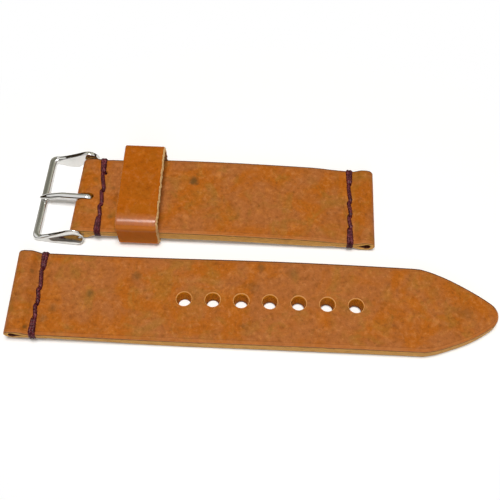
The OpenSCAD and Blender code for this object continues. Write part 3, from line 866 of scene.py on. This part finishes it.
def wrap_path(x_hole, y_hole, x_edge, y_edge, low, top, side, deep):
    """A strand from the outermost hole over the long edge and back below."""
    along, up = Vector((0, side, 0)), Vector((0, 0, 1))
    hole_y, edge_y = y_hole + side * BEND, y_edge - side * THREAD_SUNK - side * BEND
    over, under = top + THREAD_RISE - BEND, low + 0.1 + BEND
    path = [Vector((x_hole, y_hole, top - deep))]
    path += corner(Vector((x_hole, hole_y, over)), -along, up)
    path += corner(Vector((x_edge, edge_y, over)), up, along)
    path += corner(Vector((x_edge, edge_y, under)), along, -up)
    path += corner(Vector((x_hole, hole_y, under)), -up, -along)
    return path + [Vector((x_hole, y_hole, low + deep))]


def sewn_row(name, row, body, node, seed, lean=0):
    """One row of stitches, doubled over both long edges; lean draws its far end towards the buckle."""
    chance = random.Random(seed)
    x, under, over, place = row
    low, top = under(x), over(x)
    deep, paths = (top - low) / 2 - 0.1, []
    for y0, y1 in zip(STITCH_Y, STITCH_Y[1:]):
        for up, level in ((1, top), (-1, low)):
            jolt = chance.uniform(-0.12, 0.12)
            paths.append(stitch_path(up * 0.2, y0 + 0.12, -up * 0.2, y1 - 0.11, level, up, deep, jolt))
    for s in (-1, 1):
        paths.append(wrap_path(0.22 * s, STITCH_Y[-1] + 0.17 + 0.03 * s, s * 0.36, WIDTH, low, top, 1, deep))
        paths.append(wrap_path(0.22 * s, STITCH_Y[0] - 0.16 + 0.03 * s, s * 0.36, 0, low, top, -1, deep))
    paths = [[place(x + p.x - lean * passed(p.y, LEANING), p.y, p.z) for p in path] for path in paths]
    give(grow(chains(name, paths), plum_thread, Radius=THREAD_R * MM), body, "thread", node)


plum_thread = thread_tree(thread_wax)
sewn_row("sewn_row_long_lug", LONG_LUG_ROW, "long_half", "lug_thread_long", 11)
sewn_row("sewn_row_buckle", BUCKLE_ROW, "short_half", "buckle_thread", 12, 0.8)
sewn_row("sewn_row_short_lug", SHORT_LUG_ROW, "short_half", "lug_thread_short", 13)


# Keeper

KEEPER_W, KEEPER_T, KEEPER_ROUND, KEEPER_SLANT = 10.5, 1.15, 0.12, (0.12, 0.45)
KEEPER_HALF, KEEPER_HIGH = 11.35 + KEEPER_T, 10.354
KEEPER = SHORT + Vector((16.5, MIDDLE, 0))
SEAM_X, SEAM_HALF, SEAM_R = (-3.0, 0.0, 3.0), 1.3, 0.24
BED_DEEP, BED_R, BED_END, BED_HALF = 0.54, 0.3, 3.6, 0.28


def keeper_path():
    """Outer points and outward directions round the loop, from the joint under the strap and back to it."""
    path = []

    def line(y0, z0, y1, z1, out_y, out_z):
        count = max(2, round(math.hypot(y1 - y0, z1 - z0) / 0.5))
        for i in range(count):
            t = i / count
            path.append((y0 + (y1 - y0) * t, z0 + (z1 - z0) * t, out_y, out_z))

    def bend(y, z, r, start, end):
        for i in range(14):
            a = radians(start + (end - start) * i / 14)
            path.append((y + r * cos(a), z + r * sin(a), cos(a), sin(a)))

    h, z, r, near = KEEPER_HALF, KEEPER_HIGH, 2.2, 2.4
    line(-0.06, 0, -h + r, 0, 0, -1)
    bend(-h + r, r, r, 270, 180)
    line(-h, r, -h, z - near, -1, 0)
    bend(-h + near, z - near, near, 180, 90)
    line(-h + near, z, h - r, z, 0, 1)
    bend(h - r, z - r, r, 90, 0)
    line(h, z - r, h, r, 1, 0)
    bend(h - r, r, r, 0, -90)
    line(h - r, 0, 0.06, 0, 0, -1)
    path.append((0.06, 0, 0, -1))
    return path


def keeper_spot(x, deep, y, z, out_y, out_z):
    """The point at x that lies deep inside an outer point, against its outward direction."""
    return (KEEPER.x + x, KEEPER.y + y - out_y * deep, z - out_z * deep)


def keeper_side_points(side, y, z):
    """x and depth of the band's cut edge on one side: ragged, rounded and slanted."""
    ragged = 0.08 * uneven(side * 9, y * 1.1, z * 1.1) + 0.05 * uneven(side * 5, y * 4, z * 4)
    cut, r = KEEPER_W / 2 + (1.5 + side) * ragged, KEEPER_ROUND
    edge = [(cut - r + r * wave(30 * i), r * (1 - wave(90 - 30 * i))) for i in range(4)]
    edge += [(cut + 0.03 * wave(180 * i / 5), r + (KEEPER_T - 2 * r) * i / 5) for i in range(1, 5)]
    edge += [(cut - r + r * wave(90 - 30 * i), KEEPER_T - r * (1 - wave(30 * i))) for i in range(4)]
    return [(side * (a - KEEPER_SLANT[side > 0] * (1 - d / KEEPER_T) ** 1.5), d) for a, d in edge]


def between(one, other, count, deep):
    """Points of the keeper's section from one to the other, without the ends."""
    return [(one[0] + (other[0] - one[0]) * i / count, deep) for i in range(1, count)]


def make_keeper():
    across, loops, zones = 22, [], []
    for y, z, out_y, out_z in keeper_path():
        left, right = keeper_side_points(-1, y, z), keeper_side_points(1, y, z)
        ring = left[::-1] + between(left[0], right[0], across, 0.0)
        ring += right + between(right[-1], left[-1], across, KEEPER_T)
        loops.append([keeper_spot(x, d, y, z, out_y, out_z) for x, d in ring])
        for x, d in ring:
            inset = min(KEEPER_W / 2 - abs(x), 5) / 10
            zones.append((inset if d < 0.1 else 0) - d / KEEPER_T - (inset if d > KEEPER_T - 0.1 else 0))
    side = len(left)

    def kind(row, column):
        if side - 3 <= column <= side + across + 1:
            return GRAIN
        if column >= 2 * side + across - 2 or column < 1:
            return FLESH
        return EDGE

    materials = [keeper_grain, keeper_edge, leather_flesh, hole_wall, shaded_slit_wall]
    piece = tidy(tube("keeper_band", loops, materials, kind, EDGE, zones))
    beds = []
    for seam in SEAM_X:
        outline = [(KEEPER.x + seam + x, KEEPER.y + math.copysign(SEAM_HALF, y) + y)
                   for x, y in circle(BED_R, 20, start=0.5)]
        beds.append(prism("seam_bed", outline, -1, BED_DEEP, plain_place, HOLE, True))
    carve(piece, beds)
    beds = []
    for y in (KEEPER.y - SEAM_HALF, KEEPER.y + SEAM_HALF):
        corners = ((-1, -1), (1, -1), (1, 1), (-1, 1))
        outline = [(KEEPER.x + a * BED_END, y + b * BED_HALF) for a, b in corners]
        beds.append(prism("seam_bed", outline, KEEPER_T - BED_DEEP, 2.5, plain_place, HOLE, True))
    carve(piece, beds)
    give(tidy(piece), "keeper", "keeper_leather", "keeper_loop")


def make_keeper_seam():
    """Three short stitches over the joint and a run along each side of it inside."""
    low, high = 0.03 + SEAM_R, KEEPER_T - SEAM_R - 0.01
    half = [(SEAM_HALF, high - 0.1), (SEAM_HALF, low + 0.16), (SEAM_HALF - 0.06, low + 0.05),
            (SEAM_HALF - 0.2, low)]
    over = [(-y, z) for y, z in half] + [(0, low)] + half[::-1]
    paths = [[(x, y, z) for y, z in over] for x in SEAM_X]
    paths += [[(x, s * SEAM_HALF, high) for x in (-3.2, -1.5, 0, 1.5, 3.2)] for s in (-1, 1)]
    paths = [[(KEEPER.x + x, KEEPER.y + y, z) for x, y, z in path] for path in paths]
    row = chains("keeper_seam_stitches", paths)
    grow(row, plum_thread, Radius=SEAM_R * 0.88 * MM, Step=0.08 * MM, Twist=3600.0)
    give(row, "keeper", "thread", "keeper_seam_thread")


make_keeper()
make_keeper_seam()


# Buckle

ARM_IN, ARM_OUT = 11.4, 12.7
BAR_BACK, BAR_FRONT = -12.6, -10.7
CORNER_OUT, CORNER_IN = 1.6, 0.8
BAR_HIGH, ARM_HIGH = 1.5, 5.3
LOBE_X, LOBE_R = -1.6, 2.65
FOOT_OUT, FOOT_IN, LEAN, FAR_LEAN = 0.42, 0.85, 0.86, 0.25
STEEL_ANGLE = 40


def arm_top(x):
    """Height of an arm at x from the pin, rising from the bar to the lobe in a soft S."""
    knots = ((BAR_FRONT, BAR_HIGH), (-8.05, 2.35), (-6.4, 3.1), (-4.9, 3.84), (-3.5, 4.6), (LOBE_X, ARM_HIGH))
    for (x0, z0), (x1, z1) in zip(knots, knots[1:]):
        if x <= x1:
            t = max(0, (x - x0) / (x1 - x0))
            if x1 == LOBE_X:
                t = t + 0.35 * t * (1 - t)
            return z0 + (z1 - z0) * t
    return ARM_HIGH


def outer_face(z, head):
    """How far an arm's outer face stands out at height z: a thick foot, a leaning leaf and an upright rim."""
    size = ease((head - BAR_HIGH) / 0.6) * head / ARM_HIGH
    return size * (FOOT_OUT - (FOOT_OUT + LEAN) * min(1, max(0, (z / head - 0.22) / 0.44)))


def bar_section(inner, outer, foot, head, blend):
    """Ring of points of the frame's section; blend is 0 on an arm and 1 on the bar."""
    high, wide = head - foot, (outer - inner).length
    lean = (1 - blend) * (1 if inner.y < 0 else FAR_LEAN)
    radii = [0.5 + 0.1 * blend, 0.26 + 0.5 * blend, 0.24 + 0.5 * blend, 0.18 + 0.4 * blend]
    radii = [min(r, 0.42 * high) for r in radii]
    ring = []
    for out, up, r, start in zip((1, 1, 0, 0), (0, 1, 1, 0), radii, (-90, 0, 90, 180)):
        spots = []
        if out and up:
            low, top = foot + radii[0], head - radii[1]
            spots = [(wide, low + (top - low) * i / 14) for i in range(1, 14)]
        middle, level = wide - r if out else r, head - r if up else foot + r
        turns = [radians(start + 90 * i / 5) for i in range(6)]
        spots += [(middle + r * cos(a), level + r * sin(a)) for a in turns]
        for s, z in spots:
            share = s + outer_face(z, head) * lean if out else s
            if not out and not up:
                share -= FOOT_IN * (1 - blend) * ease((-3.4 - inner.x) / 1.5)
            ring.append((inner.lerp(outer, share / wide), z))
    return [pin_place(p.x, p.y, z) for p, z in ring]


def arm_spots(x):
    """Inner and outer face of the near arm at x."""
    return Vector((x, -ARM_IN)), Vector((x, -ARM_OUT))


def corner_spot(bar, arm, r, a):
    """A point of the near corner's bend between a face of the arm and one of the bar."""
    return Vector((bar + r - r * sin(a), -(arm - r) - r * cos(a)))


def make_buckle_frame():
    """One arm from its lobe, the corner and half the bar, and the same mirrored."""
    run = []
    for i in range(17):
        a = radians(90 * i / 16)
        run.append((*arm_spots(LOBE_X + LOBE_R * cos(a)), LOBE_R * (1 - sin(a)),
                    LOBE_R * (1 + sin(a)), 0))
    for x in steps(LOBE_X - 0.2, BAR_BACK + CORNER_OUT + 0.6, -0.3):
        run.append((*arm_spots(x), 0, arm_top(x), ease((-7 - x) / 3) * 0.5))
    for i in range(13):
        a = radians(90 * i / 12)
        inner = corner_spot(BAR_FRONT, ARM_IN, CORNER_IN, a)
        outer = corner_spot(BAR_BACK, ARM_OUT, CORNER_OUT, a)
        head = arm_top(outer.x + 0.6) if outer.x + 0.6 > BAR_FRONT else BAR_HIGH
        run.append((inner, outer, 0, BAR_HIGH + (head - BAR_HIGH) * cos(a), 0.5 + 0.5 * ease(i / 12)))
    for y in steps(-(ARM_OUT - CORNER_OUT) + 0.5, -0.2, 0.6):
        run.append((Vector((BAR_FRONT, y)), Vector((BAR_BACK, y)), 0, BAR_HIGH, 1))
    mirror = [(Vector((i.x, -i.y)), Vector((o.x, -o.y)), foot, head, b) for i, o, foot, head, b in run[::-1]]
    loops = [bar_section(*row) for row in run + mirror]
    piece = tidy(tube("buckle_u_frame", loops, [frame_steel]), STEEL_ANGLE)
    ring = circle(TIP_HOLE_R, 24, (0, PIN_Z))
    carve(piece, [prism("tip_hole", ring, low, high, pin_place, 0)
                  for low, high in ((-ARM_IN - 0.9, -ARM_IN + 1), (ARM_IN - 1, ARM_IN + 0.9))])
    give(tidy(piece, STEEL_ANGLE), "buckle", "polished_steel", "buckle_frame")


def tongue_rows():
    """Sections of the tongue: x and z from the pin, heading, thickness, width and squareness."""
    bore, outer, curl, r, square, wide = 0.95, 2.2, 272, 0.85, 0.35, 1.64
    middle = (bore + outer) / 2
    rows = []
    for i in range(41):
        a = curl * (1 - i / 40)
        thick = (outer - bore) + (0.25 * ease((40 - a) / 40) if a < 40 else 0)
        rows.append((middle * wave(a), middle * wave(90 - a), 180 - a, thick, wide, square))
    bend_x, bend_r, bend_a = -6.1, 3.0, 17.4
    shank = outer - r - 0.02
    for i in range(1, 13):
        t = i / 12
        z = middle + (shank - middle) * ease(t * 3)
        rows.append((bend_x * t, z, 180, 1.5 + 0.2 * ease(t * 3), wide + 0.06 * ease(t * 3),
                     square * (1 - ease(t * 2.5))))
    for i in range(1, 9):
        a = bend_a * i / 8
        x, z = bend_x - bend_r * wave(a), shank - bend_r * (1 - wave(90 - a))
        rows.append((x, z, 180 + a, 2 * r, 2 * r, 0))
    for along, size in ((1.2, 1), (2.3, 1), (3.4, 0.99), (4.1, 0.86), (4.8, 0.7), (5.4, 0.54), (5.75, 0.44),
                        (5.88, 0.33), (5.93, 0.17)):
        rows.append((x - along * wave(90 - bend_a), z - along * wave(bend_a), 180 + bend_a, 2 * r * size,
                     2 * r * size, 0))
    return rows


def make_tongue():
    """Round tongue: curled round the pin, straight over the fold, bent down to a blunt tip beyond the bar."""
    loops = []
    for x, z, heading, thick, wide, square in tongue_rows():
        a = radians(heading)
        up = Vector((sin(a), 0, -cos(a)))
        ring = []
        for c, s in circle(1, 32):
            full = 1 / max(abs(c), abs(s)) ** (0.72 * square)
            c, s = c * full, s * full
            out_x, out_z = up.x * thick / 2 * s, up.z * thick / 2 * s
            ring.append(pin_place(x + out_x, TONGUE_Y + wide / 2 * c, PIN_Z + z + out_z))
        loops.append(ring)
    piece = tidy(tube("buckle_tongue_rod", loops, [frame_steel]), STEEL_ANGLE)
    give(piece, "tongue", "polished_steel", "buckle_tongue")


make_buckle_frame()
make_tongue()
for node in ("spring_bar_tube", "spring_bar_tip_near", "spring_bar_tip_far", "spring_bar_spring"):
    for slot in frame["nodes"][node].material_slots:
        slot.material = bar_steel


# Loose fibres


def fibre_tree(name, material, seed):
    """Short bent hairs standing on the given faces."""
    sheet, given = geometry_sheet(name, Density=4.0e6, Length=0.0004)
    values = {"Mesh": given.out("Geometry"), "Density": given.out("Density"), "Seed": seed}
    spots = sheet.add("GeometryNodeDistributePointsOnFaces", values, distribute_method="RANDOM")
    values = {"Resolution": 4, "Start": (0, 0, -0.1), "Middle": (0.1, 0.0, 0.5), "End": (0.5, 0.15, 0.9)}
    hair = sheet.add("GeometryNodeCurveQuadraticBezier", values)
    ring = sheet.add("GeometryNodeCurvePrimitiveCircle", {"Resolution": 3, "Radius": 0.045}, mode="RADIUS")
    hair = sheet.add("GeometryNodeCurveToMesh", {"Curve": hair, "Profile Curve": ring, "Fill Caps": True})
    values = {0: (-0.9, -0.9, -3.1), 1: (0.9, 0.9, 3.1), "Seed": seed + 1}
    turn = sheet.add("FunctionNodeRandomValue", values, data_type="FLOAT_VECTOR")
    values = {"Rotation": spots.out("Rotation"), "Rotate By": turn}
    turn = sheet.add("FunctionNodeRotateRotation", values, rotation_space="LOCAL")
    size = sheet.add("FunctionNodeRandomValue", {2: 0.35, 3: 1.0, "Seed": seed + 2}, 1, data_type="FLOAT")
    values = {"Points": spots, "Instance": hair, "Rotation": turn, "Scale": size * given.out("Length")}
    return in_material(sheet, sheet.add("GeometryNodeInstanceOnPoints", values), material)


def fibres(name, rows, tree, density, length, body, slot):
    """Fibres of about length mm on a narrow bed between two lines of points."""
    count = len(rows[0])
    faces = [(i, i + 1, count + i + 1, count + i) for i in range(count - 1)]
    bed = skin(name, rows[0] + rows[1], faces)
    give(grow(bed, tree, Density=density, Length=length * MM), body, slot)


def add_fibres():
    tan = fibre_tree("tan_fibres", fuzz_tan, 5)
    plum = fibre_tree("plum_fibres", thread_wax, 8)
    for name, x, depths in (("keeper_fibres_right", KEEPER_W / 2, (0.25, 0.95)),
                            ("keeper_fibres_left", -KEEPER_W / 2, (0.95, 0.25))):
        rows = [[keeper_spot(x, d, *spot) for spot in keeper_path()[6:-6]] for d in depths]
        fibres(name, rows, tan, 3.2e6, 0.42, "keeper", "keeper_leather")
    rows = [[short_place(x, 0.03, short_under(x) + d) for x in steps(20, 68, 0.5)] for d in (0.15, 0.75)]
    fibres("short_edge_fibres", rows, tan, 2.6e6, 0.36, "short_half", "leather")
    rows = [[long_place(x, 0.03, long_under(x) + d) for x in steps(11, 100, 0.5)] for d in (0.2, 1.2)]
    fibres("long_edge_fibres", rows, tan, 0.7e6, 0.22, "long_half", "leather")
    for name, (x, _, top, place), body in (("long_lug_fluff", LONG_LUG_ROW, "long_half"),
                                           ("short_lug_fluff", SHORT_LUG_ROW, "short_half"),
                                           ("buckle_row_fluff", BUCKLE_ROW, "short_half")):
        rows = [[place(x + s, y, top(x) + 0.02) for y in range(1, 22)] for s in (-0.6, 0.6)]
        fibres(name, rows, plum, 1.6e6, 0.5, body, "thread")


add_fibres()


# Floor and light: lengths in metres

WHITE, WARM_GLOW, CLOTH, ROOM = (1, 1, 1, 1), (1, 0.97, 0.9, 1), (1, 0.98, 0.8, 1), (1, 0.72, 0.42, 1)
FLOOR_SIZE, PLAIN_FROM, PLAIN_AT = 6.0, 0.045, 0.075


def plane(name, wide, high, spot, aim):
    """A card of its width and height facing aim."""
    w, h = wide / 2, high / 2
    card = shape(name, [(-w, -h, 0), (w, -h, 0), (w, h, 0), (-w, h, 0)], [], [(0, 1, 2, 3)])
    card.location = spot
    card.rotation_euler = Vector(aim).to_track_quat("Z", "Y").to_euler()
    return card


def seen_or_mirrored(sheet):
    """1 for what the camera sees directly or in metal and glass, 0 for light that falls on things."""
    path = sheet.add("ShaderNodeLightPath", out="Is Camera Ray")
    mirrored = path.maths("MAXIMUM", path, path.out("Is Glossy Ray"))
    return path.maths("MAXIMUM", mirrored, path.out("Is Transmission Ray"))


def white_paper(sheet):
    """Floor paper that keeps the strap's shadow, and is plain white far from it for the camera and metal."""
    paper = sheet.add("ShaderNodeBsdfDiffuse", {"Color": tint(251, 251, 251)})
    seen = seen_or_mirrored(sheet)
    glow = sheet.add("ShaderNodeEmission", {"Color": WARM_GLOW, "Strength": seen * 0.12})
    near = sheet.add("ShaderNodeAddShader", (paper, glow))
    far = sheet.add("ShaderNodeEmission", {"Color": WHITE, "Strength": 1.0})
    x, y, _ = sheet.axes(sheet.add("ShaderNodeTexCoord", out="Object"))
    away = ((x * 0.7) ** 2 + y ** 2) ** 0.5
    return sheet.add("ShaderNodeMixShader", (away.rise(PLAIN_FROM, PLAIN_AT) * seen, near, far))


def add_floor():
    floor = plane("pale_floor", FLOOR_SIZE, FLOOR_SIZE, (0, 0, 0), (0, 0, 1))
    floor.data.materials.append(material_of("pale_floor", white_paper))


def show_in_metal(card, shade, strength):
    """A card that glows, out of sight and out of the light: polished metal alone shows it."""
    values = {"Color": shade, "Strength": strength}
    card.data.materials.append(material_of(card.name, lambda sheet: sheet.add("ShaderNodeEmission", values)))
    for kind in ("camera", "diffuse", "transmission", "volume_scatter", "shadow"):
        setattr(card, "visible_" + kind, False)


def add_cards():
    """The dark room round the soft light, two cloths and a post, which give the steel its lines."""
    far, low, high, count = 0.7, 0.0, 0.36, 48
    sides = [(k, (k + 1) % count, count + (k + 1) % count, count + k) for k in range(count)]
    room = shape("dark_room", [(x, y, z) for z in (low, high) for x, y in circle(far, count)], [], sides)
    show_in_metal(room, ROOM, 0.045)
    for name, wide, high, spot, strength in (("pale_cloth", 1.6, 0.9, (0, 0.56, 0.75), 0.65),
                                             ("grey_cloth", 0.42, 0.36, (-0.34, 0.42, 0.65), 0.24),
                                             ("dark_post", 0.09, 0.7, (0.08, 0.42, 0.7), 0.05)):
        show_in_metal(plane(name, wide, high, spot, (0, -1, 0)), CLOTH, strength)


def add_lamp(name, spot, size, power):
    """A square soft light that faces the strap."""
    data = bpy.data.lights.new(name, "AREA")
    data.shape, data.size, data.energy = "SQUARE", size, power
    lamp = put(name, data)
    lamp.location = spot
    lamp.rotation_euler = Vector(spot).to_track_quat("Z", "Y").to_euler()


def add_world():
    world = bpy.data.worlds.new("studio")
    bpy.context.scene.world = world
    world.use_nodes = True
    sheet = Sheet(world.node_tree)
    fill = sheet.add("ShaderNodeBackground", {"Color": (1, 0.96, 0.8, 1), "Strength": 0.13})
    white = sheet.add("ShaderNodeBackground", {"Color": WHITE, "Strength": 1.0})
    both = sheet.add("ShaderNodeMixShader", (seen_or_mirrored(sheet), fill, white))
    sheet.add("ShaderNodeOutputWorld", {"Surface": both})


add_floor()
add_cards()
add_lamp("overhead_softbox", (0, -0.05, 0.65), 0.24, 3.5)
add_lamp("front_softbox", (0.05, -0.5, 0.42), 0.3, 0.32)
add_world()

bpy.context.scene.view_settings.view_transform = "Standard"
